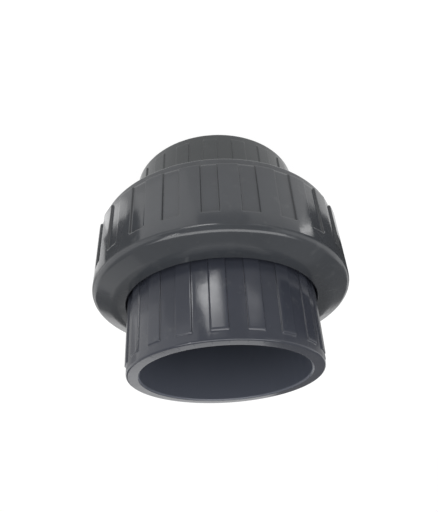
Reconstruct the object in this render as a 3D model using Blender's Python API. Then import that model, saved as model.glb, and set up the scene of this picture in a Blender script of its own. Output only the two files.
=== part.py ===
"""Pipe union for 63 mm solvent-weld PVC-U pipe.

Two socket ends are drawn together by a nut, which screws onto the threaded end and presses the
tail end's collar, with the O-ring in its face, against the threaded end's flat seal face.
Metres, +Z up along the pipe's axis, origin at the centre of the threaded end's mouth.

Every piece is a closed skin of rings round the Z axis. A ring is one vertex for each column,
and a column is an angle with a flag that says whether it lies on a raised rib.
"""

import math

import bmesh
import bpy

MM = 0.001
FULL_TURN = 2 * math.pi
FRONT = math.radians(-90)  # direction of -Y, from which rib positions are counted

# Heights and clearances, mm
OVERALL_LENGTH = 90.0
SEAL_FACE_HEIGHT = 47.2
FACE_GAP = 0.3
NUT_FOOT_HEIGHT = 27.7

# Sockets, the same on both ends, mm. Depths are measured from the mouth.
PIPE_SOCKET_DEPTH = 38.0
SOCKET_MOUTH_RADIUS = 31.75
SOCKET_FOOT_RADIUS = 31.5
LEAD_IN = 0.6
BORE_RADIUS = 28.0
LIP_RADIUS = 36.6
LIP_LENGTH = 3.1
LIP_CHAMFER = 0.7
DRAFT = 0.022  # the outside's growth in radius for each mm of depth
RIB_COUNT = 20
RIB_HEIGHT = 0.5
RIB_WIDTH = math.radians(8.7)
RIB_CENTRE = FRONT + math.radians(1.55)
RIB_WALL = math.radians(0.6)
RIB_RUN_OUT = 0.4

# Threaded end, mm
THREADED_RIBS_END = 26.8
SHOULDER_HEIGHT = 28.6
SHOULDER_CHAMFER = 0.8
THREAD_CHAMFER = 0.6

# Thread, right-handed, mm
PITCH = 4.0
MALE_ROOT_RADIUS = 41.6
MALE_CREST_RADIUS = 43.5
MALE_BASE_WIDTH = 2.2
MALE_CREST_WIDTH = 1.2
MALE_START_HEIGHT = 30.8
FEMALE_ROOT_RADIUS = 43.9
FEMALE_CREST_RADIUS = 42.1
FEMALE_BASE_WIDTH = 2.3
FEMALE_CREST_WIDTH = 1.36
THREAD_TURNS = 3.625
THREAD_FADE_STEPS = 6

# Tail end, mm. Heights are measured from its seal face.
COLLAR_RADIUS = 41.6
COLLAR_THICKNESS = 5.5
COLLAR_CHAMFER = 0.5
HUB_LENGTH = 0.6
GROOVE_INNER_RADIUS = 33.0
GROOVE_OUTER_RADIUS = 38.0
GROOVE_DEPTH = 3.7

# O-ring as it sits squeezed in its groove, mm
O_RING_RADIUS = 35.5
O_RING_HALF_WIDTH = 2.1
O_RING_HALF_HEIGHT = 1.7
O_RING_COLUMNS = 48
O_RING_SECTION_POINTS = 8

# Union nut, mm. Heights are measured from its open foot.
NUT_RADIUS = 51.4
NUT_RIM_RADIUS = 50.2
NUT_BODY_RADIUS = 50.65  # between the ribs
NUT_RIB_COUNT = 24
NUT_RIB_WIDTH = math.radians(8.3)
NUT_RIB_CENTRE = FRONT + math.radians(-5.45)
NUT_RIBS_LOW = 2.8
NUT_RIBS_RUN_IN = 1.0
NUT_RIBS_HIGH = 24.8
NUT_RIBS_RUN_OUT = 0.5
NUT_FOOT_CHAMFER = 0.8
NUT_MOUTH_RADIUS = 45.0
NUT_CEILING = 25.6
NUT_TOP = 34.3
NUT_TOP_RING_RADIUS = 43.2
NUT_CONE_SLOPE = math.radians(19.2)
NUT_EDGE_ROUNDING = 2.8
NUT_EDGE_STEPS = 3
NUT_HOLE_RADIUS = 38.2
NUT_HOLE_CHAMFER = 0.6

PLAIN_COLUMNS = 48

# Materials. Colours are linear.
NUT_GREY = (0.036, 0.038, 0.041)
THREADED_END_GREY = (0.032, 0.036, 0.038)
TAIL_END_GREY = (0.034, 0.037, 0.047)
RUBBER_BLACK = (0.012, 0.012, 0.013)
PVC_ROUGHNESS = 0.18
RUBBER_ROUGHNESS = 0.6


def clear_scene():
    for obj in list(bpy.data.objects):
        bpy.data.objects.remove(obj)


# Columns and rings

def plain_columns(start):
    """Evenly spaced columns with no ribs."""
    return [(start + FULL_TURN * i / PLAIN_COLUMNS, False) for i in range(PLAIN_COLUMNS)]


def ribbed_columns(count, centre, width):
    """Four columns for each rib: foot, top, top, foot."""
    half = width / 2
    wall = RIB_WALL / 2
    around_rib = ((-half - wall, False), (-half + wall, True), (half - wall, True), (half + wall, False))
    pitch = FULL_TURN / count
    return [(centre + i * pitch + turn, raised) for i in range(count) for turn, raised in around_rib]


def add_ring(bm, height, radius, columns, relief=0.0):
    """A ring of vertices. Columns on a rib stand out by the relief."""
    ring = []
    for angle, raised in columns:
        reach = (radius + relief * raised) * MM
        ring.append(bm.verts.new((reach * math.cos(angle), reach * math.sin(angle), height * MM)))
    return ring


def join_rings(bm, first, second):
    """Quads between rings with the same columns, and triangles where the number of columns changes."""
    if len(first) == len(second):
        for i in range(len(first)):
            bm.faces.new((first[i - 1], first[i], second[i], second[i - 1]))
        return
    i = j = 0
    while i < len(first) or j < len(second):
        corner = (first[i % len(first)], second[j % len(second)])
        if (i + 1) * len(second) <= (j + 1) * len(first):
            i += 1
            bm.faces.new((*corner, first[i % len(first)]))
        else:
            j += 1
            bm.faces.new((*corner, second[j % len(second)]))


def skin(bm, rings):
    for first, second in zip(rings, rings[1:]):
        join_rings(bm, first, second)


def arc(centre_radius, centre_height, size, start, end, steps):
    """Points (radius, height) along an arc in the section."""
    turns = [start + (end - start) * i / steps for i in range(steps + 1)]
    return [(centre_radius + size * math.cos(t), centre_height + size * math.sin(t)) for t in turns]


# Thread

def add_ridge_section(bm, angle, height, root, crest, base_width, crest_width, rise):
    """The ridge's four corners at one angle. rise is 0 where it has run out and 1 at full height."""
    top = root + (crest - root) * rise
    corners = ((root, -base_width / 2), (top, -crest_width / 2), (top, crest_width / 2), (root, base_width / 2))
    section = []
    for radius, offset in corners:
        x = radius * math.cos(angle) * MM
        y = radius * math.sin(angle) * MM
        section.append(bm.verts.new((x, y, (height + offset) * MM)))
    return section


def add_fan(bm, apex, chain):
    for first, second in zip(chain, chain[1:]):
        bm.faces.new((apex, first, second))


def add_thread(bm, bottom, top, columns, start_height, root, crest, base_width, crest_width):
    """A cylindrical wall between two rings, with a helical ridge that runs out at both ends."""
    count = len(columns)
    steps = round(THREAD_TURNS * count)
    ridge = []
    for k in range(steps + 1):
        angle = columns[k % count][0]
        rise = min(1.0, k / THREAD_FADE_STEPS, (steps - k) / THREAD_FADE_STEPS)
        height = start_height + PITCH * k / count
        ridge.append(add_ridge_section(bm, angle, height, root, crest, base_width, crest_width, rise))
    for here, ahead in zip(ridge, ridge[1:]):
        for low in range(3):
            bm.faces.new((here[low], ahead[low], ahead[low + 1], here[low + 1]))
    for k in range(steps - count):
        above, above_ahead = ridge[k + count], ridge[k + count + 1]
        bm.faces.new((ridge[k][3], ridge[k + 1][3], above_ahead[0], above[0]))
    for k in range(count - 1):
        bm.faces.new((bottom[k], bottom[k + 1], ridge[k + 1][0], ridge[k][0]))
    add_fan(bm, bottom[-1], [bottom[0], *ridge[0], ridge[count][0], ridge[count - 1][0]])
    last_turn = steps - count
    add_fan(bm, ridge[last_turn + 1][3], [ridge[last_turn][3], *ridge[steps], top[steps % count]])
    bm.faces.new((ridge[last_turn + 1][3], top[steps % count], top[(steps + 1) % count]))
    for k in range(last_turn + 1, steps):
        bm.faces.new((ridge[k][3], ridge[k + 1][3], top[(k + 1) % count], top[k % count]))


# The socket that both ends share

SOCKET_RIBS = ribbed_columns(RIB_COUNT, RIB_CENTRE, RIB_WIDTH)
SOCKET_PLAIN = plain_columns(SOCKET_RIBS[0][0])


def wall_radius(depth):
    return LIP_RADIUS + DRAFT * depth


def socket_outside(bm, mouth, inward, ribs_end):
    """Rings from the foot of the ribs out to the mouth's face. inward is +1 or -1 along Z."""
    def at(depth, radius, relief=0.0):
        return add_ring(bm, mouth + inward * depth, radius, SOCKET_RIBS, relief)

    ribs_start = LIP_LENGTH + RIB_RUN_OUT
    ribs_stop = ribs_end - RIB_RUN_OUT
    return [
        at(ribs_end, wall_radius(ribs_end)),
        at(ribs_stop, wall_radius(ribs_stop), RIB_HEIGHT),
        at(ribs_start, wall_radius(ribs_start), RIB_HEIGHT),
        at(LIP_LENGTH, wall_radius(LIP_LENGTH)),
        at(LIP_CHAMFER, LIP_RADIUS),
        at(0.0, LIP_RADIUS - LIP_CHAMFER),
    ]


def socket_inside(bm, mouth, inward, bore_end):
    """Rings from the mouth's face in to the pipe stop, and along the bore to bore_end."""
    def at(depth, radius):
        return add_ring(bm, mouth + inward * depth, radius, SOCKET_PLAIN)

    return [
        at(0.0, SOCKET_MOUTH_RADIUS + LEAD_IN),
        at(LEAD_IN, SOCKET_MOUTH_RADIUS),
        at(PIPE_SOCKET_DEPTH, SOCKET_FOOT_RADIUS),
        at(PIPE_SOCKET_DEPTH, BORE_RADIUS),
        at(bore_end, BORE_RADIUS),
    ]


# Pieces

def build_threaded_end():
    """Socket end with the pipe stop, the shoulder, the male thread and the flat seal face."""
    bm = bmesh.new()

    def at(height, radius):
        return add_ring(bm, height, radius, SOCKET_PLAIN)

    outside = socket_outside(bm, 0.0, 1, THREADED_RIBS_END)
    outside.insert(0, add_ring(bm, SHOULDER_HEIGHT, wall_radius(SHOULDER_HEIGHT), SOCKET_RIBS))
    inside = socket_inside(bm, 0.0, 1, SEAL_FACE_HEIGHT)
    bottom = at(SHOULDER_HEIGHT + SHOULDER_CHAMFER, MALE_ROOT_RADIUS)
    top = at(SEAL_FACE_HEIGHT - THREAD_CHAMFER, MALE_ROOT_RADIUS)
    skin(bm, [bottom, at(SHOULDER_HEIGHT, MALE_ROOT_RADIUS - SHOULDER_CHAMFER), *outside, *inside,
              at(SEAL_FACE_HEIGHT, MALE_ROOT_RADIUS - THREAD_CHAMFER), top])
    add_thread(bm, bottom, top, SOCKET_PLAIN, MALE_START_HEIGHT, MALE_ROOT_RADIUS, MALE_CREST_RADIUS,
               MALE_BASE_WIDTH, MALE_CREST_WIDTH)
    return bm


def build_tail_end():
    """Socket end whose collar the nut presses down, with the O-ring groove in its seal face."""
    bm = bmesh.new()
    mouth = OVERALL_LENGTH - SEAL_FACE_HEIGHT - FACE_GAP

    def at(height, radius):
        return add_ring(bm, height, radius, SOCKET_PLAIN)

    ribs_end = mouth - COLLAR_THICKNESS - HUB_LENGTH
    collar_depth = mouth - COLLAR_THICKNESS
    outside = socket_outside(bm, mouth, -1, ribs_end)
    outside.insert(0, add_ring(bm, COLLAR_THICKNESS, wall_radius(collar_depth), SOCKET_RIBS))
    inside = socket_inside(bm, mouth, -1, mouth)
    collar = [
        at(GROOVE_DEPTH, GROOVE_INNER_RADIUS),
        at(GROOVE_DEPTH, GROOVE_OUTER_RADIUS),
        at(0.0, GROOVE_OUTER_RADIUS),
        at(0.0, COLLAR_RADIUS - COLLAR_CHAMFER),
        at(COLLAR_CHAMFER, COLLAR_RADIUS),
        at(COLLAR_THICKNESS - COLLAR_CHAMFER, COLLAR_RADIUS),
        at(COLLAR_THICKNESS, COLLAR_RADIUS - COLLAR_CHAMFER),
    ]
    groove_lip = at(0.0, GROOVE_INNER_RADIUS)
    skin(bm, [groove_lip, *collar, *outside, *inside, groove_lip])
    return bm


def build_o_ring():
    """Rubber ring, squeezed a little wider than it is high."""
    bm = bmesh.new()
    columns = [(FULL_TURN * i / O_RING_COLUMNS, False) for i in range(O_RING_COLUMNS)]
    rings = []
    for i in range(O_RING_SECTION_POINTS):
        turn = FULL_TURN * i / O_RING_SECTION_POINTS
        radius = O_RING_RADIUS + O_RING_HALF_WIDTH * math.cos(turn)
        rings.append(add_ring(bm, O_RING_HALF_HEIGHT * math.sin(turn), radius, columns))
    skin(bm, [*rings, rings[0]])
    return bm


def female_start_height(start_angle):
    """Height above the nut's foot at which its ridge starts, half a pitch off the male ridge."""
    turns_apart = (start_angle - SOCKET_PLAIN[0][0]) / FULL_TURN
    return MALE_START_HEIGHT + PITCH * (turns_apart + 0.5) - NUT_FOOT_HEIGHT


def build_union_nut():
    """Ribbed nut with a female thread and an inner wall that bears on the tail end's collar."""
    bm = bmesh.new()
    ribbed = ribbed_columns(NUT_RIB_COUNT, NUT_RIB_CENTRE, NUT_RIB_WIDTH)
    plain = plain_columns(ribbed[0][0])

    def outer(height, radius, relief=0.0):
        return add_ring(bm, height, radius, ribbed, relief)

    def inner(height, radius):
        return add_ring(bm, height, radius, plain)

    rib_height = NUT_RADIUS - NUT_BODY_RADIUS
    corner_height = NUT_TOP - (NUT_RADIUS - NUT_TOP_RING_RADIUS) * math.tan(NUT_CONE_SLOPE)
    cone_normal = math.pi / 2 - NUT_CONE_SLOPE
    edge_height = corner_height - NUT_EDGE_ROUNDING * math.tan(cone_normal / 2)
    edge = arc(NUT_RADIUS - NUT_EDGE_ROUNDING, edge_height, NUT_EDGE_ROUNDING, 0.0, cone_normal,
               NUT_EDGE_STEPS)
    bottom = inner(NUT_MOUTH_RADIUS - FEMALE_ROOT_RADIUS, FEMALE_ROOT_RADIUS)
    top = inner(NUT_CEILING, FEMALE_ROOT_RADIUS)
    skin(bm, [
        bottom,
        inner(0.0, NUT_MOUTH_RADIUS),
        outer(0.0, NUT_RIM_RADIUS - NUT_FOOT_CHAMFER),
        outer(NUT_FOOT_CHAMFER, NUT_RIM_RADIUS),
        outer(NUT_RIBS_LOW, NUT_RIM_RADIUS),
        outer(NUT_RIBS_LOW + NUT_RIBS_RUN_IN, NUT_BODY_RADIUS, rib_height),
        outer(NUT_RIBS_HIGH - NUT_RIBS_RUN_OUT, NUT_BODY_RADIUS, rib_height),
        outer(NUT_RIBS_HIGH, NUT_RADIUS),
        *(outer(height, radius) for radius, height in edge),
        outer(NUT_TOP, NUT_TOP_RING_RADIUS),
        inner(NUT_TOP, NUT_HOLE_RADIUS + NUT_HOLE_CHAMFER),
        inner(NUT_TOP - NUT_HOLE_CHAMFER, NUT_HOLE_RADIUS),
        inner(NUT_CEILING, NUT_HOLE_RADIUS),
        top,
    ])
    add_thread(bm, bottom, top, plain, female_start_height(plain[0][0]), FEMALE_ROOT_RADIUS,
               FEMALE_CREST_RADIUS, FEMALE_BASE_WIDTH, FEMALE_CREST_WIDTH)
    return bm


# Objects and materials

def make_material(name, colour, roughness):
    material = bpy.data.materials.new(name)
    material.use_nodes = True
    shader = material.node_tree.nodes["Principled BSDF"]
    shader.inputs["Base Color"].default_value = (*colour, 1.0)
    shader.inputs["Roughness"].default_value = roughness
    shader.inputs["Metallic"].default_value = 0.0
    material.diffuse_color = (*colour, 1.0)
    return material


def make_object(name, bm, height, material, parent):
    """The object's origin lies on the pipe's axis, which every joint turns about or slides along."""
    bmesh.ops.recalc_face_normals(bm, faces=bm.faces)
    mesh = bpy.data.meshes.new(name)
    bm.to_mesh(mesh)
    bm.free()
    mesh.shade_smooth()
    mesh.set_sharp_from_angle(angle=math.radians(30))
    mesh.materials.append(material)
    obj = bpy.data.objects.new(name, mesh)
    obj.location.z = height * MM
    obj.parent = parent
    bpy.context.collection.objects.link(obj)
    return obj


def build_pipe_union():
    clear_scene()
    axis = bpy.data.objects.new("pipe_axis", None)
    bpy.context.collection.objects.link(axis)
    tail_face = SEAL_FACE_HEIGHT + FACE_GAP
    make_object("threaded_end", build_threaded_end(), 0.0,
                make_material("threaded_end_pvc", THREADED_END_GREY, PVC_ROUGHNESS), axis)
    make_object("union_nut", build_union_nut(), NUT_FOOT_HEIGHT,
                make_material("union_nut_pvc", NUT_GREY, PVC_ROUGHNESS), axis)
    make_object("tail_end", build_tail_end(), tail_face,
                make_material("tail_end_pvc", TAIL_END_GREY, PVC_ROUGHNESS), axis)
    make_object("o_ring", build_o_ring(), tail_face + O_RING_HALF_HEIGHT,
                make_material("o_ring_rubber", RUBBER_BLACK, RUBBER_ROUGHNESS), axis)


build_pipe_union()
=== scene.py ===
"""Looks for the pipe union: a fine skin for each of its four pieces, their materials, studio and camera.

Sizes in the constants are in millimetres and are the CAD model's own, apart from the roundings and the
slopes at the ends of ribs. The pieces' heights come from the frame.
Every piece is a closed skin of rings round the Z axis. A column is an angle with the share of a
rib's relief that it stands on, from 0 beside the rib to 1 on its top.
"""

import math

import bmesh
import bpy
from mathutils import Matrix, Vector


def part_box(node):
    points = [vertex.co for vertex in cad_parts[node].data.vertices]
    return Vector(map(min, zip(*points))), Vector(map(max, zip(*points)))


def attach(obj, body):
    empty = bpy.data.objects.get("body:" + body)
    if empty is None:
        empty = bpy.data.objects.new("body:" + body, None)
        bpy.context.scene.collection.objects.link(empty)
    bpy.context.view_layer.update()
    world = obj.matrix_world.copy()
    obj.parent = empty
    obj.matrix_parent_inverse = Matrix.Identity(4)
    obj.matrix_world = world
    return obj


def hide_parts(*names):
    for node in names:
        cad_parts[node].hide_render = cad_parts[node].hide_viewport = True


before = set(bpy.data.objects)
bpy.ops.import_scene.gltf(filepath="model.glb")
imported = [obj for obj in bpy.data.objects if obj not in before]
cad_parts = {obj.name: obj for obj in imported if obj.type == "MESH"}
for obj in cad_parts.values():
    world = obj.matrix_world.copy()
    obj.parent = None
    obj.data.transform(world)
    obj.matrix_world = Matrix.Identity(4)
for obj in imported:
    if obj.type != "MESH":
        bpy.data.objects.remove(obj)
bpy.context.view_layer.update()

MM = 0.001
FULL_TURN = 2 * math.pi
FRONT = math.radians(-90)  # direction of -Y

MIDDLE_HEIGHT = 45.0  # of the whole union

# Sockets, the same on both ends. Depths are measured from the mouth.
SOCKET_DEPTH = 38.0
SOCKET_MOUTH_RADIUS = 31.75
SOCKET_FOOT_RADIUS = 31.5
LEAD_IN = 0.6
BORE_RADIUS = 28.0
INSIDE_RADIUS = 32.1  # everything nearer the axis is the inside of the bore
INSIDE_FADE = 0.3
LIP_RADIUS = 36.6
LIP_ROUNDING = 0.8
DRAFT = 0.022  # the outside's growth in radius for each mm of depth
RIB_COUNT = 20
RIB_HEIGHT = 0.5
RIB_WIDTH = math.radians(8.7)
RIB_CENTRE = FRONT + math.radians(1.55)
RIB_WALL = math.radians(0.6)
RIB_START = 3.1
RIB_RUN_OUT = 0.5
THREADED_RIBS_END = 26.8

# Threaded end
SHOULDER_HEIGHT = 28.6
SHOULDER_ROUNDING = 0.6
THREAD_WALL_MARGIN = 0.6  # from the seal face down to the wall that carries the thread

# Thread, right-handed
PITCH = 4.0
MALE_ROOT_RADIUS = 41.6
MALE_CREST_RADIUS = 43.5
MALE_BASE_WIDTH = 2.2
MALE_CREST_WIDTH = 1.2
MALE_START_HEIGHT = 30.8
FEMALE_ROOT_RADIUS = 43.9
FEMALE_CREST_RADIUS = 42.1
FEMALE_BASE_WIDTH = 2.3
FEMALE_CREST_WIDTH = 1.36
THREAD_TURNS = 3.625
THREAD_RUN_OUT = math.radians(40)
THREAD_EDGE = 0.22

# Tail end. Heights are measured from its seal face.
COLLAR_RADIUS = 41.6
COLLAR_THICKNESS = 5.5
GROOVE_INNER_RADIUS = 33.0
GROOVE_OUTER_RADIUS = 38.0
GROOVE_DEPTH = 3.7

# O-ring
O_RING_HALF_WIDTH = 2.1
O_RING_RADIUS = 35.5
O_RING_COLUMNS = 160
O_RING_POINTS = 32
O_RING_FLASH = 0.06

# Union nut. Heights are measured from its open foot.
NUT_RIB_COUNT = 24
NUT_RIB_WIDTH = math.radians(8.3)
NUT_RIB_CENTRE = FRONT + math.radians(-5.45)
NUT_RIB_WALL = math.radians(0.5)
NUT_RADIUS = 51.4
NUT_RIM_RADIUS = 50.2
NUT_BODY_RADIUS = 50.65
NUT_RIBS_LOW = 2.8
NUT_RIBS_RUN_IN = 1.0
NUT_RIBS_HIGH = 24.8
NUT_RIBS_RUN_OUT = 0.6
NUT_MOUTH_RADIUS = 45.0
NUT_CEILING = 25.6
NUT_TOP_RING_RADIUS = 43.2
NUT_CONE_SLOPE = math.radians(19.2)
NUT_CONE_ROUNDING = 12.0  # where the cone meets the flat ring
NUT_EDGE_ROUNDING = 2.8
NUT_HOLE_RADIUS = 38.2
NUT_HOLE_ROUNDING = 0.6

# Roundings of the other edges and corners, from the crispest to the broadest
CRISP = 0.15
FINE = 0.2
SLIGHT = 0.3
SOFT = 0.4
ROUND = 0.5
BROAD = 0.8

ROUNDING_STEPS = 5
WALL_STEPS = 4
BETWEEN_WALLS = (0.07, 0.3, 0.7, 0.93)  # columns between two rib walls, as shares of the way across
LEVEL = 0.6  # from the end of a rib's slope to the next ring

# Colours
GREY = (0.035, 0.038, 0.043)
# Painted shade: the threaded end's grey is made a little darker for the shade beneath the nut
SHADED_GREY = (0.032, 0.036, 0.038)
BLUE_GREY = (0.030, 0.033, 0.044)
WORN = (0.15, 0.155, 0.155)
DUST = (0.11, 0.115, 0.115)
# Painted shade on the rib walls, for the shade that falls in the ribs' recesses
PAINTED_WALL_SHADE = (0.012, 0.013, 0.014)
# Painted shade in the bore: its colour darkens from the mouths towards the middle, where less light reaches
BORE_LIT = (0.075, 0.083, 0.106)  # at the mouths
BORE_SHADED = (0.004, 0.006, 0.011)  # in the middle
RUBBER = (0.012, 0.012, 0.013)
BLOOM = (0.045, 0.045, 0.046)

# PVC. A noise's scale is in cycles for each metre, and the heights of the relief are in metres.
PVC_IOR = 1.53
MOTTLING = 1.12
CLOUD_SCALE = 45.0
DUST_SCALE = 160.0
DUST_MOST = 0.2
SCUFF_SCALE = 260.0
SCUFF_STRETCH = (1, 1, 0.18)
SCUFF_MOST = 0.5
WEAR_MOST = 0.25
# The painted shade on a rib wall goes no further than this share
PAINTED_WALL_SHADE_MOST = 0.9
GLOSS_SCALE = 90.0
GLOSSIER, DULLER = 0.03, 0.04  # how far the roughness wanders down and up
ROUGHER = {"scuff": 0.2, "dust": 0.3, "bore": 0.2, "painted_wall_shade": 0.5}  # added to the roughness
WAVE_SCALE, WAVE_HEIGHT = 70.0, 0.0002
PEEL_SCALE, PEEL_HEIGHT = 700.0, 0.000012
GRAIN_SCALE, GRAIN_HEIGHT = 3500.0, 0.000002

# Rubber
BLOOM_SCALE = 400.0
BLOOM_MOST = 0.6
RUBBER_GRAIN_SCALE, RUBBER_GRAIN_HEIGHT = 2500.0, 0.00001

# Studio
FLOOR_REACH = 60000.0
FLOOR_HEIGHT = -0.2
FLOOR_COLOUR, FLOOR_GLOW = 0.12, 0.95
BORE_SHADE_HEIGHT = -0.1
BORE_SHADE_POINTS = 64
BORE_SHADE_COLOUR, BORE_SHADE_GLOW = 0.35, 0.03
PAPER_ROUGHNESS = 0.9
PAPER_VARIATION = 0.985
HORIZON_LIGHT = 1.15
ZENITH_LIGHT = 0.4
SKY_FADE_START = math.radians(16)
SKY_FADE_END = math.radians(34)
SOFTBOXES = (  # name, place, target, size, radiance
    ("overhead_strip", (-40, -280, 760), (0, 0, 60), (1250, 400), 3.2),
    ("lamp", (330, -420, 420), (0, 0, 60), (60, 30), 25.0),
)
FLOOR_CARD_HEIGHT = 3
FLOOR_CARDS = (  # name, centre x and y, size along x and y, radiance
    ("card_front", 40, -182, 66, 40, 8.0),
    ("card_front_far", 38, -226, 76, 48, 3.2),
    ("card_front_right", -104, -180, 56, 50, 1.6),
    ("card_left", 78, -19, 16, 40, 1.0),
    ("card_right", -106, -50, 12, 20, 4.0),
)
FLAG_COLOUR = 0.02
FLAG_STEPS = 24
FLOOR_FLAGS = (  # name, inner and outer radius, start and end in degrees from -Y towards +X, height, radiance
    ("flag_front", 132, 420, -160, 25, 1.0, 0.38),
    ("flag_front_left", 132, 232, 25, 60, 1.0, 0.55),
    ("flag_near", 116, 132, -22, 14, 1.0, 0.38),
    ("flag_near_right", 116, 132, -60, -22, 1.0, 0.85),
    ("flag_near_left", 84, 132, 16, 55, 1.0, 1.35),
    ("flag_back", 116, 420, 112, 200, 1.0, 0.45),
    ("flag_left", 92, 126, 56, 96, 1.5, 0.08),
    ("flag_left_far", 126, 180, 60, 112, 1.0, 0.5),
    ("flag_right", 89, 260, -128, -65, 1.5, 0.03),
)
WALL_DISTANCE = 900.0
WALL_FLAGS = (  # name, start and end in degrees from -Y towards +X, heights of its two edges, radiance
    ("wall_front", -47, 47, 0, 560, 0.3),
    ("wall_back_right", -173, -119, 120, 780, 0.2),
    ("wall_back_left", 138, 163, 200, 480, 0.15),
    ("wall_back_left_top", 150, 172, 480, 600, 0.25),
    ("wall_left_top", 127, 147, 500, 1130, 0.75),
)

# Camera. The distance and the aim are in lip radii, the aim measured down from the tail end's mouth.
CAMERA_ELEVATION = math.radians(32.916)
CAMERA_ROLL = math.radians(-3.405)
CAMERA_DISTANCE = 5.188
CAMERA_AIM = 1.469
CAMERA_SENSOR = 36.0
CAMERA_LENS = 30.4899


def smooth(t):
    return t * t * (3 - 2 * t)


# Skins

def rib_columns(count, centre, width, wall):
    """Columns round the axis: up one wall of a rib, over its top, down the other wall and on to the next."""
    pitch = FULL_TURN / count
    columns = []
    for i in range(count):
        up = centre + i * pitch - width / 2 - wall / 2
        down = up + width
        steps = [step / WALL_STEPS for step in range(WALL_STEPS + 1)]
        columns += [(up + wall * step, smooth(step)) for step in steps]
        columns += [(up + wall + (width - wall) * share, 1.0) for share in BETWEEN_WALLS]
        columns += [(down + wall * step, smooth(1 - step)) for step in steps]
        columns += [(down + wall + (pitch - width - wall) * share, 0.0) for share in BETWEEN_WALLS]
    return columns


def rounded(corners):
    """An outline of (radius, height, relief) through (radius, height, rounding) corners, each one an arc."""
    outline = []
    for i, (radius, height, rounding) in enumerate(corners):
        here = Vector((radius, height))
        if rounding == 0 or i in (0, len(corners) - 1):
            outline.append((radius, height, 0.0))
            continue
        back = (Vector(corners[i - 1][:2]) - here).normalized()
        ahead = (Vector(corners[i + 1][:2]) - here).normalized()
        half = back.angle(ahead) / 2
        centre = here + (back + ahead).normalized() * rounding / math.sin(half)
        first = here + back * rounding / math.tan(half) - centre
        last = here + ahead * rounding / math.tan(half) - centre
        for step in range(ROUNDING_STEPS + 1):
            spoke = first.slerp(last, step / ROUNDING_STEPS).normalized() * rounding
            outline.append((*(centre + spoke), 0.0))
    return outline


def relief_rise(start, run_in):
    """(place, share) pairs along the start of a rib, which rises over run_in and stays level for a little."""
    steps = [step / WALL_STEPS for step in range(WALL_STEPS + 1)]
    return [(start + run_in * step, smooth(step)) for step in steps] + [(start + run_in + LEVEL, 1.0)]


def relief_fall(end, run_out):
    """(place, share) pairs along the end of a rib, which is level for a little and falls over run_out."""
    return [(end - place, share) for place, share in reversed(relief_rise(0.0, run_out))]


class Skin:
    """Points and faces of one closed surface of revolution, with ribs."""

    def __init__(self, columns):
        self.columns = columns
        self.points = []
        self.walls = []  # depth of the rib wall that each point lies on
        self.faces = []

    def add_point(self, angle, radius, height, wall=0.0):
        self.points.append((radius * math.cos(angle) * MM, radius * math.sin(angle) * MM, height * MM))
        self.walls.append(wall)
        return len(self.points) - 1

    def add_ring(self, radius, height, relief=0.0):
        return [
            self.add_point(angle, radius + relief * share, height, relief * 4 * share * (1 - share))
            for angle, share in self.columns
        ]

    def join(self, first, second):
        for i in range(len(first)):
            self.faces.append((first[i - 1], first[i], second[i], second[i - 1]))

    def add_wall(self, outline, start=None, end=None):
        """Rings along an outline, joined, from an existing ring and to another if they are given."""
        rings = [self.add_ring(*place) for place in outline]
        if start:
            rings.insert(0, start)
        if end:
            rings.append(end)
        for first, second in zip(rings, rings[1:]):
            self.join(first, second)
        return rings

    def add_fan(self, apex, chain):
        for first, second in zip(chain, chain[1:]):
            self.faces.append((apex, first, second))

    def add_thread(self, bottom, top, start_height, root, crest, base_width, crest_width):
        """A cylindrical wall between two rings, with a helical ridge that runs out at both ends."""
        count = len(self.columns)
        steps = round(THREAD_TURNS * count)
        run_out = THREAD_RUN_OUT / FULL_TURN * count
        edge = math.copysign(THREAD_EDGE, crest - root)
        half = (
            (root, base_width / 2 + THREAD_EDGE),
            (root + edge, base_width / 2 - THREAD_EDGE / 2),
            (crest - edge, crest_width / 2 + THREAD_EDGE / 3),
            (crest, crest_width / 2 - THREAD_EDGE),
        )
        section = [(radius, -offset) for radius, offset in half] + list(reversed(half))
        ridge = []
        for k in range(steps + 1):
            angle = self.columns[k % count][0]
            turned = (k // count) * FULL_TURN + angle - self.columns[0][0]
            rise = smooth(min(1.0, k / run_out, (steps - k) / run_out))
            height = start_height + PITCH * turned / FULL_TURN
            ridge.append([self.add_point(angle, root + (radius - root) * rise, height + offset)
                          for radius, offset in section])
        last = len(section) - 1
        for here, ahead in zip(ridge, ridge[1:]):
            for low in range(last):
                self.faces.append((here[low], ahead[low], ahead[low + 1], here[low + 1]))
        last_turn = steps - count
        for k in range(last_turn):
            above, above_ahead = ridge[k + count], ridge[k + count + 1]
            self.faces.append((ridge[k][last], ridge[k + 1][last], above_ahead[0], above[0]))
        for k in range(count - 1):
            self.faces.append((bottom[k], bottom[k + 1], ridge[k + 1][0], ridge[k][0]))
        self.add_fan(bottom[-1], [bottom[0], *ridge[0], ridge[count][0], ridge[count - 1][0]])
        next_up = ridge[last_turn + 1][last]
        self.add_fan(next_up, [ridge[last_turn][last], *ridge[steps], top[steps % count]])
        self.faces.append((next_up, top[steps % count], top[(steps + 1) % count]))
        for k in range(last_turn + 1, steps):
            self.faces.append((ridge[k][last], ridge[k + 1][last], top[(k + 1) % count], top[k % count]))

    def make_object(self, name):
        mesh = bpy.data.meshes.new(name)
        mesh.from_pydata(self.points, [], self.faces)
        mesh.attributes.new("rib_wall", "FLOAT", "POINT").data.foreach_set("value", self.walls)
        bm = bmesh.new()
        bm.from_mesh(mesh)
        bmesh.ops.recalc_face_normals(bm, faces=bm.faces)
        bm.to_mesh(mesh)
        bm.free()
        mesh.shade_smooth()
        obj = bpy.data.objects.new(name, mesh)
        bpy.context.collection.objects.link(obj)
        weighted = obj.modifiers.new("even_normals", "WEIGHTED_NORMAL")
        weighted.weight = 80
        return obj


# The socket that both ends share

SOCKET_COLUMNS = rib_columns(RIB_COUNT, RIB_CENTRE, RIB_WIDTH, RIB_WALL)


def wall_radius(depth):
    return LIP_RADIUS + DRAFT * depth


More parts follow.
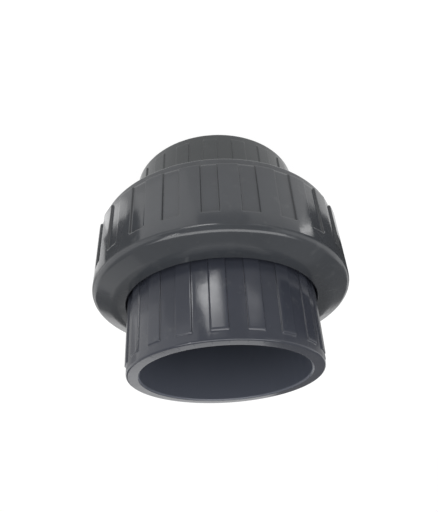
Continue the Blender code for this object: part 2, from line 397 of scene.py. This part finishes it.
def socket_outline(mouth, inward, ribs_end, bore_end):
    """Out along the ribs from their far end, round the lip and in along the bore. inward is +1 or -1."""
    ribs = relief_rise(RIB_START, RIB_RUN_OUT) + relief_fall(ribs_end, RIB_RUN_OUT)
    outside = [
        (wall_radius(depth), mouth + inward * depth, RIB_HEIGHT * share)
        for depth, share in reversed(ribs)
    ]
    mouth_and_bore = rounded([
        (wall_radius(RIB_START) - DRAFT, mouth + inward * (RIB_START - 0.5), 0),
        (LIP_RADIUS, mouth, LIP_ROUNDING),
        (SOCKET_MOUTH_RADIUS + LEAD_IN, mouth, CRISP),
        (SOCKET_MOUTH_RADIUS, mouth + inward * LEAD_IN, SLIGHT),
        (SOCKET_FOOT_RADIUS, mouth + inward * SOCKET_DEPTH, ROUND),
        (BORE_RADIUS, mouth + inward * SOCKET_DEPTH, SLIGHT),
        (BORE_RADIUS, bore_end, 0),
    ])
    return outside + mouth_and_bore


# Pieces. Where one outline follows another, each stops a few tenths of a millimetre short of the other.

def make_threaded_end():
    low, high = (corner.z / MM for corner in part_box("threaded_end"))
    skin = Skin(SOCKET_COLUMNS)
    foot = wall_radius(SHOULDER_HEIGHT)
    bottom = skin.add_ring(MALE_ROOT_RADIUS, SHOULDER_HEIGHT + 0.8)
    top = skin.add_ring(MALE_ROOT_RADIUS, high - THREAD_WALL_MARGIN)
    shoulder = rounded([
        (MALE_ROOT_RADIUS, SHOULDER_HEIGHT + 0.7, 0),
        (MALE_ROOT_RADIUS, SHOULDER_HEIGHT, SHOULDER_ROUNDING),
        (foot, SHOULDER_HEIGHT, BROAD),
        (foot - DRAFT, THREADED_RIBS_END + 0.3, 0),
    ])
    socket = socket_outline(low, 1, THREADED_RIBS_END, high - 1.0)
    seal_face = rounded([
        (BORE_RADIUS, high - 0.9, 0),
        (BORE_RADIUS, high, SOFT),
        (MALE_ROOT_RADIUS, high, ROUND),
        (MALE_ROOT_RADIUS, high - 0.55, 0),
    ])
    skin.add_wall(shoulder + socket + seal_face, bottom, top)
    skin.add_thread(bottom, top, MALE_START_HEIGHT, MALE_ROOT_RADIUS, MALE_CREST_RADIUS,
                    MALE_BASE_WIDTH, MALE_CREST_WIDTH)
    return skin.make_object("threaded_end_skin")


def make_tail_end():
    low, high = (corner.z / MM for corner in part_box("tail_end"))
    skin = Skin(SOCKET_COLUMNS)
    collar_top = low + COLLAR_THICKNESS
    hub_radius = wall_radius(high - collar_top)
    collar = rounded([
        (30.0, low, 0),
        (GROOVE_INNER_RADIUS, low, FINE),
        (GROOVE_INNER_RADIUS, low + GROOVE_DEPTH, SOFT),
        (GROOVE_OUTER_RADIUS, low + GROOVE_DEPTH, SOFT),
        (GROOVE_OUTER_RADIUS, low, FINE),
        (COLLAR_RADIUS, low, ROUND),
        (COLLAR_RADIUS, collar_top, ROUND),
        (hub_radius, collar_top, CRISP),
        (hub_radius, collar_top + 0.4, 0),
    ])
    socket = socket_outline(high, -1, high - collar_top - 0.6, low + 1.0)
    bore_end = rounded([(BORE_RADIUS, low + 0.9, 0), (BORE_RADIUS, low, SOFT), (29.5, low, 0)])
    rings = skin.add_wall(collar + socket + bore_end)
    skin.join(rings[-1], rings[0])
    return skin.make_object("tail_end_skin")


def make_union_nut():
    low, high = (corner.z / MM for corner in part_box("union_nut"))
    skin = Skin(rib_columns(NUT_RIB_COUNT, NUT_RIB_CENTRE, NUT_RIB_WIDTH, NUT_RIB_WALL))
    rib_height = NUT_RADIUS - NUT_BODY_RADIUS
    ceiling = low + NUT_CEILING
    corner_height = high - (NUT_RADIUS - NUT_TOP_RING_RADIUS) * math.tan(NUT_CONE_SLOPE)
    bottom = skin.add_ring(FEMALE_ROOT_RADIUS, low + 1.3)
    top = skin.add_ring(FEMALE_ROOT_RADIUS, ceiling - 0.6)
    foot = rounded([
        (FEMALE_ROOT_RADIUS, low + 1.2, 0),
        (NUT_MOUTH_RADIUS, low, SLIGHT),
        (NUT_RIM_RADIUS, low, BROAD),
        (NUT_RIM_RADIUS, low + NUT_RIBS_LOW - 0.3, 0),
    ])
    rib_feet = [
        (NUT_RIM_RADIUS + (NUT_BODY_RADIUS - NUT_RIM_RADIUS) * share, low + place, rib_height * share)
        for place, share in relief_rise(NUT_RIBS_LOW, NUT_RIBS_RUN_IN)
    ]
    pocket_ends = [
        (NUT_RADIUS - rib_height * share, low + place, rib_height * share)
        for place, share in relief_fall(NUT_RIBS_HIGH, NUT_RIBS_RUN_OUT)
    ]
    head = rounded([
        (NUT_RADIUS, low + NUT_RIBS_HIGH + 0.3, 0),
        (NUT_RADIUS, corner_height, NUT_EDGE_ROUNDING),
        (NUT_TOP_RING_RADIUS, high, NUT_CONE_ROUNDING),
        (NUT_HOLE_RADIUS, high, NUT_HOLE_ROUNDING),
        (NUT_HOLE_RADIUS, ceiling, SOFT),
        (FEMALE_ROOT_RADIUS, ceiling, SOFT),
        (FEMALE_ROOT_RADIUS, ceiling - 0.5, 0),
    ])
    skin.add_wall(foot + rib_feet + pocket_ends + head, bottom, top)
    turns_apart = (skin.columns[0][0] - SOCKET_COLUMNS[0][0]) / FULL_TURN
    start_height = MALE_START_HEIGHT + PITCH * (turns_apart + 0.5)
    skin.add_thread(bottom, top, start_height, FEMALE_ROOT_RADIUS, FEMALE_CREST_RADIUS,
                    FEMALE_BASE_WIDTH, FEMALE_CREST_WIDTH)
    return skin.make_object("union_nut_skin")


def make_o_ring():
    low, high = (corner.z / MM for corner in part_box("o_ring"))
    half_height = (high - low) / 2
    skin = Skin([(FULL_TURN * i / O_RING_COLUMNS, 0.0) for i in range(O_RING_COLUMNS)])
    section = []
    for i in range(O_RING_POINTS):
        turn = FULL_TURN * i / O_RING_POINTS
        flash = O_RING_FLASH * (i % (O_RING_POINTS // 2) == 0)
        radius = O_RING_RADIUS + (O_RING_HALF_WIDTH + flash) * math.cos(turn)
        section.append((radius, low + half_height * (1 + math.sin(turn))))
    rings = skin.add_wall(section)
    skin.join(rings[-1], rings[0])
    return skin.make_object("o_ring_skin")


# Materials

class Nodes:
    """Short calls for the few node types that the materials use."""

    def __init__(self, name):
        self.material = bpy.data.materials.new(name)
        self.material.use_nodes = True
        self.tree = self.material.node_tree
        self.shader = self.tree.nodes["Principled BSDF"]
        self.place = self.tree.nodes.new("ShaderNodeTexCoord").outputs["Object"]

    def link(self, source, target):
        self.tree.links.new(source, target)

    def noise(self, scale, detail=3.0, roughness=0.5, stretch=(1, 1, 1), shift=0.0):
        mapping = self.tree.nodes.new("ShaderNodeMapping")
        mapping.inputs["Scale"].default_value = stretch
        mapping.inputs["Location"].default_value = (shift, shift, shift)
        self.link(self.place, mapping.inputs["Vector"])
        node = self.tree.nodes.new("ShaderNodeTexNoise")
        node.inputs["Scale"].default_value = scale
        node.inputs["Detail"].default_value = detail
        node.inputs["Roughness"].default_value = roughness
        self.link(mapping.outputs["Vector"], node.inputs["Vector"])
        return node.outputs["Fac"]

    def remap(self, source, low, high, to_low, to_high):
        node = self.tree.nodes.new("ShaderNodeMapRange")
        node.interpolation_type = "SMOOTHSTEP"
        self.link(source, node.inputs["Value"])
        for name, value in zip(("From Min", "From Max", "To Min", "To Max"), (low, high, to_low, to_high)):
            node.inputs[name].default_value = value
        return node.outputs["Result"]

    def math(self, operation, first, second):
        node = self.tree.nodes.new("ShaderNodeMath")
        node.operation = operation
        for socket, value in zip(node.inputs, (first, second)):
            if isinstance(value, (int, float)):
                socket.default_value = value
            else:
                self.link(value, socket)
        return node.outputs["Value"]

    def mix(self, share, first, second):
        node = self.tree.nodes.new("ShaderNodeMix")
        node.data_type = "RGBA"
        self.link(share, node.inputs["Factor"])
        for socket, value in zip((node.inputs[6], node.inputs[7]), (first, second)):
            if isinstance(value, tuple):
                socket.default_value = (*value, 1.0)
            else:
                self.link(value, socket)
        return node.outputs[2]

    def bump(self, height, distance, below=None):
        node = self.tree.nodes.new("ShaderNodeBump")
        node.inputs["Strength"].default_value = 1.0
        node.inputs["Distance"].default_value = distance
        self.link(height, node.inputs["Height"])
        if below:
            self.link(below, node.inputs["Normal"])
        return node.outputs["Normal"]

    def edges(self, low, high):
        geometry = self.tree.nodes.new("ShaderNodeNewGeometry")
        return self.remap(geometry.outputs["Pointiness"], low, high, 0.0, 1.0)

    def attribute(self, name):
        node = self.tree.nodes.new("ShaderNodeAttribute")
        node.attribute_name = name
        return node.outputs["Fac"]

    def distance_from_middle(self):
        """How far a point is from the union's middle, as a share of the way to either mouth."""
        split = self.tree.nodes.new("ShaderNodeSeparateXYZ")
        self.link(self.place, split.inputs["Vector"])
        offset = self.math("SUBTRACT", split.outputs["Z"], MIDDLE_HEIGHT * MM)
        return self.remap(self.math("ABSOLUTE", offset, 0.0), 0.0, MIDDLE_HEIGHT * MM, 0.0, 1.0)

    def distance_from_axis(self):
        flat = self.tree.nodes.new("ShaderNodeVectorMath")
        flat.operation = "MULTIPLY"
        self.link(self.place, flat.inputs[0])
        flat.inputs[1].default_value = (1.0, 1.0, 0.0)
        length = self.tree.nodes.new("ShaderNodeVectorMath")
        length.operation = "LENGTH"
        self.link(flat.outputs["Vector"], length.inputs[0])
        return length.outputs["Value"]


def pvc_body(nodes, colour, seed, inside):
    """The plastic's colour, faintly mottled outside, and in the bore a painted shade that darkens towards the
    middle.
    """
    cloud = nodes.remap(nodes.noise(CLOUD_SCALE, 4.0, 0.6, shift=seed), 0.35, 0.65, 0.0, 1.0)
    outer = nodes.mix(cloud, colour, tuple(channel * MOTTLING for channel in colour))
    # Painted shade: the bore darkens towards the union's middle
    bore = nodes.mix(nodes.distance_from_middle(), BORE_SHADED, BORE_LIT)
    return nodes.mix(inside, outer, bore)


def pvc_relief(nodes, seed):
    """Slight waves, orange peel and a fine grain, one on top of the other."""
    waves = nodes.bump(nodes.noise(WAVE_SCALE, 1.5, 0.4, shift=seed + 9), WAVE_HEIGHT)
    peel = nodes.bump(nodes.noise(PEEL_SCALE, 2.0, shift=seed + 11), PEEL_HEIGHT, below=waves)
    return nodes.bump(nodes.noise(GRAIN_SCALE, 2.0, shift=seed + 13), GRAIN_HEIGHT, below=peel)


def pvc_material(name, colour, roughness, painted_wall_shade, seed):
    """Moulded PVC-U with dust, scuffs, worn edges, painted shade on the rib walls and deep in the bore, and
    more matt in the bore.

    Each noise is shifted by its own amount from the seed, so that no two of them line up.
    """
    nodes = Nodes(name)
    shader = nodes.shader
    shader.inputs["IOR"].default_value = PVC_IOR
    edge, fade_end = INSIDE_RADIUS * MM, (INSIDE_RADIUS + INSIDE_FADE) * MM
    inside = nodes.remap(nodes.distance_from_axis(), edge, fade_end, 1.0, 0.0)
    outside = nodes.math("SUBTRACT", 1.0, inside)

    dust_noise = nodes.noise(DUST_SCALE, 6.0, 0.65, shift=seed + 3)
    dust = nodes.math("MULTIPLY", nodes.remap(dust_noise, 0.56, 0.76, 0.0, DUST_MOST), outside)
    scuff_noise = nodes.noise(SCUFF_SCALE, 5.0, 0.7, stretch=SCUFF_STRETCH, shift=seed + 5)
    scuff = nodes.math("MULTIPLY", nodes.remap(scuff_noise, 0.66, 0.76, 0.0, SCUFF_MOST), outside)
    wear = nodes.remap(scuff, 0.0, SCUFF_MOST, 0.0, WEAR_MOST)
    worn = nodes.math("MULTIPLY", nodes.edges(0.53, 0.62), wear)
    # Painted shade: the rib walls are darkened for the shade in the ribs' recesses, and made rougher below
    painted_wall_shade_share = nodes.math("MULTIPLY", nodes.attribute("rib_wall"), painted_wall_shade)

    body = nodes.mix(dust, pvc_body(nodes, colour, seed, inside), DUST)
    body = nodes.mix(worn, body, WORN)
    body = nodes.mix(nodes.math("MINIMUM", painted_wall_shade_share, PAINTED_WALL_SHADE_MOST), body, PAINTED_WALL_SHADE)
    nodes.link(body, shader.inputs["Base Color"])

    gloss_noise = nodes.noise(GLOSS_SCALE, 4.0, 0.6, shift=seed + 7)
    gloss = nodes.remap(gloss_noise, 0.3, 0.7, roughness - GLOSSIER, roughness + DULLER)
    for part, share in (("scuff", scuff), ("dust", dust), ("bore", inside), ("painted_wall_shade", painted_wall_shade_share)):
        gloss = nodes.math("ADD", gloss, nodes.math("MULTIPLY", share, ROUGHER[part]))
    nodes.link(gloss, shader.inputs["Roughness"])
    nodes.link(pvc_relief(nodes, seed), shader.inputs["Normal"])
    return nodes.material


def rubber_material(name):
    """Black EPDM with a pale bloom of dust and a fine matt grain."""
    nodes = Nodes(name)
    shader = nodes.shader
    bloom = nodes.remap(nodes.noise(BLOOM_SCALE, 5.0, 0.7), 0.5, 0.75, 0.0, BLOOM_MOST)
    nodes.link(nodes.mix(bloom, RUBBER, BLOOM), shader.inputs["Base Color"])
    nodes.link(nodes.remap(bloom, 0.0, BLOOM_MOST, 0.5, 0.75), shader.inputs["Roughness"])
    grain = nodes.bump(nodes.noise(RUBBER_GRAIN_SCALE), RUBBER_GRAIN_HEIGHT)
    nodes.link(grain, shader.inputs["Normal"])
    return nodes.material


def paper_material(name, colour, glow):
    """A plain card or floor that gives off some light of its own, so that shadows on it stay faint."""
    nodes = Nodes(name)
    shader = nodes.shader
    patch = nodes.remap(nodes.noise(6.0), 0.3, 0.7, 0.0, 1.0)
    body = nodes.mix(patch, (colour,) * 3, (colour * PAPER_VARIATION,) * 3)
    nodes.link(body, shader.inputs["Base Color"])
    shader.inputs["Roughness"].default_value = PAPER_ROUGHNESS
    shader.inputs["Specular IOR Level"].default_value = 0.0
    shader.inputs["Emission Color"].default_value = (1.0, 1.0, 1.0, 1.0)
    shader.inputs["Emission Strength"].default_value = glow
    return nodes.material


# Studio

def make_stage_piece(name, points, faces, material):
    """A mesh of the stage, from points in millimetres."""
    mesh = bpy.data.meshes.new(name)
    mesh.from_pydata([[value * MM for value in point] for point in points], [], faces)
    mesh.materials.append(material)
    piece = bpy.data.objects.new(name, mesh)
    bpy.context.collection.objects.link(piece)
    return piece


def make_floor():
    """A pale floor that fills every view, with a shaded patch inside the bore that gives off little light."""
    corners = ((-1, -1), (1, -1), (1, 1), (-1, 1))
    points = [(x * FLOOR_REACH, y * FLOOR_REACH, FLOOR_HEIGHT) for x, y in corners]
    paper = paper_material("floor_paper", FLOOR_COLOUR, FLOOR_GLOW)
    make_stage_piece("floor", points, [(0, 1, 2, 3)], paper)
    reach = (SOCKET_MOUTH_RADIUS + LIP_RADIUS) / 2
    turns = [FULL_TURN * i / BORE_SHADE_POINTS for i in range(BORE_SHADE_POINTS)]
    rim = [(reach * math.cos(turn), reach * math.sin(turn), BORE_SHADE_HEIGHT) for turn in turns]
    shade = paper_material("floor_in_bore", BORE_SHADE_COLOUR, BORE_SHADE_GLOW)
    make_stage_piece("floor_in_bore", rim, [tuple(range(BORE_SHADE_POINTS))], shade)


def place_round(turn, radius, height):
    """A point round the object, at a turn in degrees from -Y towards +X."""
    angle = math.radians(turn)
    return radius * math.sin(angle), -radius * math.cos(angle), height


def make_flag(name, points, faces, glow):
    """A card that only glossy surfaces see."""
    card = make_stage_piece(name, points, faces, paper_material(name, FLAG_COLOUR, glow))
    card.visible_camera = False
    card.visible_diffuse = False
    card.visible_shadow = False


def make_floor_flag(name, inner, outer, start, end, height, glow):
    """A flag on the floor, part of a ring round the object."""
    points = []
    for step in range(FLAG_STEPS + 1):
        turn = start + (end - start) * step / FLAG_STEPS
        points += [place_round(turn, radius, height) for radius in (inner, outer)]
    faces = [(2 * step, 2 * step + 1, 2 * step + 3, 2 * step + 2) for step in range(FLAG_STEPS)]
    make_flag(name, points, faces, glow)


def make_wall_flag(name, start, end, bottom, top, glow):
    """An upright flag round the object."""
    places = ((start, bottom), (end, bottom), (end, top), (start, top))
    points = [place_round(turn, WALL_DISTANCE, height) for turn, height in places]
    make_flag(name, points, [(0, 1, 2, 3)], glow)


def make_world():
    """A white surround that, for all but the camera, darkens overhead."""
    world = bpy.data.worlds.new("studio")
    world.use_nodes = True
    tree = world.node_tree
    direction = tree.nodes.new("ShaderNodeTexCoord").outputs["Generated"]
    split = tree.nodes.new("ShaderNodeSeparateXYZ")
    tree.links.new(direction, split.inputs["Vector"])
    fade = tree.nodes.new("ShaderNodeMapRange")
    fade.interpolation_type = "SMOOTHSTEP"
    tree.links.new(split.outputs["Z"], fade.inputs["Value"])
    limits = {"From Min": math.sin(SKY_FADE_START), "From Max": math.sin(SKY_FADE_END),
              "To Min": HORIZON_LIGHT, "To Max": ZENITH_LIGHT}
    for name, value in limits.items():
        fade.inputs[name].default_value = value
    brightest = tree.nodes.new("ShaderNodeMath")
    brightest.operation = "MAXIMUM"
    tree.links.new(fade.outputs["Result"], brightest.inputs[0])
    tree.links.new(tree.nodes.new("ShaderNodeLightPath").outputs["Is Camera Ray"], brightest.inputs[1])
    tree.links.new(brightest.outputs["Value"], tree.nodes["Background"].inputs["Strength"])
    tree.nodes["Background"].inputs["Color"].default_value = (1.0, 1.0, 1.0, 1.0)
    bpy.context.scene.world = world


def make_softbox(name, place, target, size, radiance):
    """A rectangular light that the camera doesn't see. Places and sizes are in millimetres."""
    light = bpy.data.lights.new(name, "AREA")
    light.shape = "RECTANGLE"
    light.size, light.size_y = size[0] * MM, size[1] * MM
    light.energy = radiance * math.pi * light.size * light.size_y
    obj = bpy.data.objects.new(name, light)
    obj.location = Vector(place) * MM
    obj.rotation_euler = (Vector(target) - Vector(place)).to_track_quat("-Z", "Y").to_euler()
    obj.visible_camera = False
    bpy.context.collection.objects.link(obj)


def make_lights():
    """Bright cards low round the object for the streaks, a strip overhead for the nut's edge, and flags."""
    for name, x, y, width, length, radiance in FLOOR_CARDS:
        place = Vector((x, y, FLOOR_CARD_HEIGHT))
        make_softbox(name, place, place + Vector((0, 0, 1)), (width, length), radiance)
    for box in SOFTBOXES:
        make_softbox(*box)
    for flag in FLOOR_FLAGS:
        make_floor_flag(*flag)
    for wall in WALL_FLAGS:
        make_wall_flag(*wall)


def make_camera():
    """The photograph's viewpoint: close to the tail end's mouth, with the picture's top towards the floor."""
    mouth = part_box("tail_end")[1].z
    target = Vector((0.0, 0.0, mouth - CAMERA_AIM * LIP_RADIUS * MM))
    back = Vector((0.0, -math.cos(CAMERA_ELEVATION), math.sin(CAMERA_ELEVATION)))
    level = Vector((-1.0, 0.0, 0.0))
    down = Vector((0.0, -math.sin(CAMERA_ELEVATION), -math.cos(CAMERA_ELEVATION)))
    right = level * math.cos(CAMERA_ROLL) + down * math.sin(CAMERA_ROLL)
    up = down * math.cos(CAMERA_ROLL) - level * math.sin(CAMERA_ROLL)
    camera = bpy.data.cameras.new("photo_camera")
    camera.sensor_width = CAMERA_SENSOR
    camera.lens = CAMERA_LENS
    camera.clip_start = 0.01
    camera.clip_end = 200.0
    obj = bpy.data.objects.new("photo_camera", camera)
    axes = Matrix((right, up, back)).transposed()
    place = target + back * CAMERA_DISTANCE * LIP_RADIUS * MM
    obj.matrix_world = Matrix.Translation(place) @ axes.to_4x4()
    bpy.context.collection.objects.link(obj)
    bpy.context.scene.camera = obj


def finish_piece(obj, body, material):
    obj.data.materials.append(material)
    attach(obj, body)
    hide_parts(body)


make_camera()
make_floor()
make_world()
make_lights()

# The threaded end's darker grey is painted shade, for the shade beneath the nut
threaded_end_pvc = pvc_material("pvc_threaded_end", SHADED_GREY, roughness=0.17, painted_wall_shade=0.8, seed=1.0)
union_nut_pvc = pvc_material("pvc_union_nut", GREY, roughness=0.15, painted_wall_shade=0.8, seed=21.0)
tail_end_pvc = pvc_material("pvc_tail_end", BLUE_GREY, roughness=0.15, painted_wall_shade=0.5, seed=41.0)
finish_piece(make_threaded_end(), "threaded_end", threaded_end_pvc)
finish_piece(make_union_nut(), "union_nut", union_nut_pvc)
finish_piece(make_tail_end(), "tail_end", tail_end_pvc)
finish_piece(make_o_ring(), "o_ring", rubber_material("epdm"))

bpy.context.scene.view_settings.view_transform = "Standard"
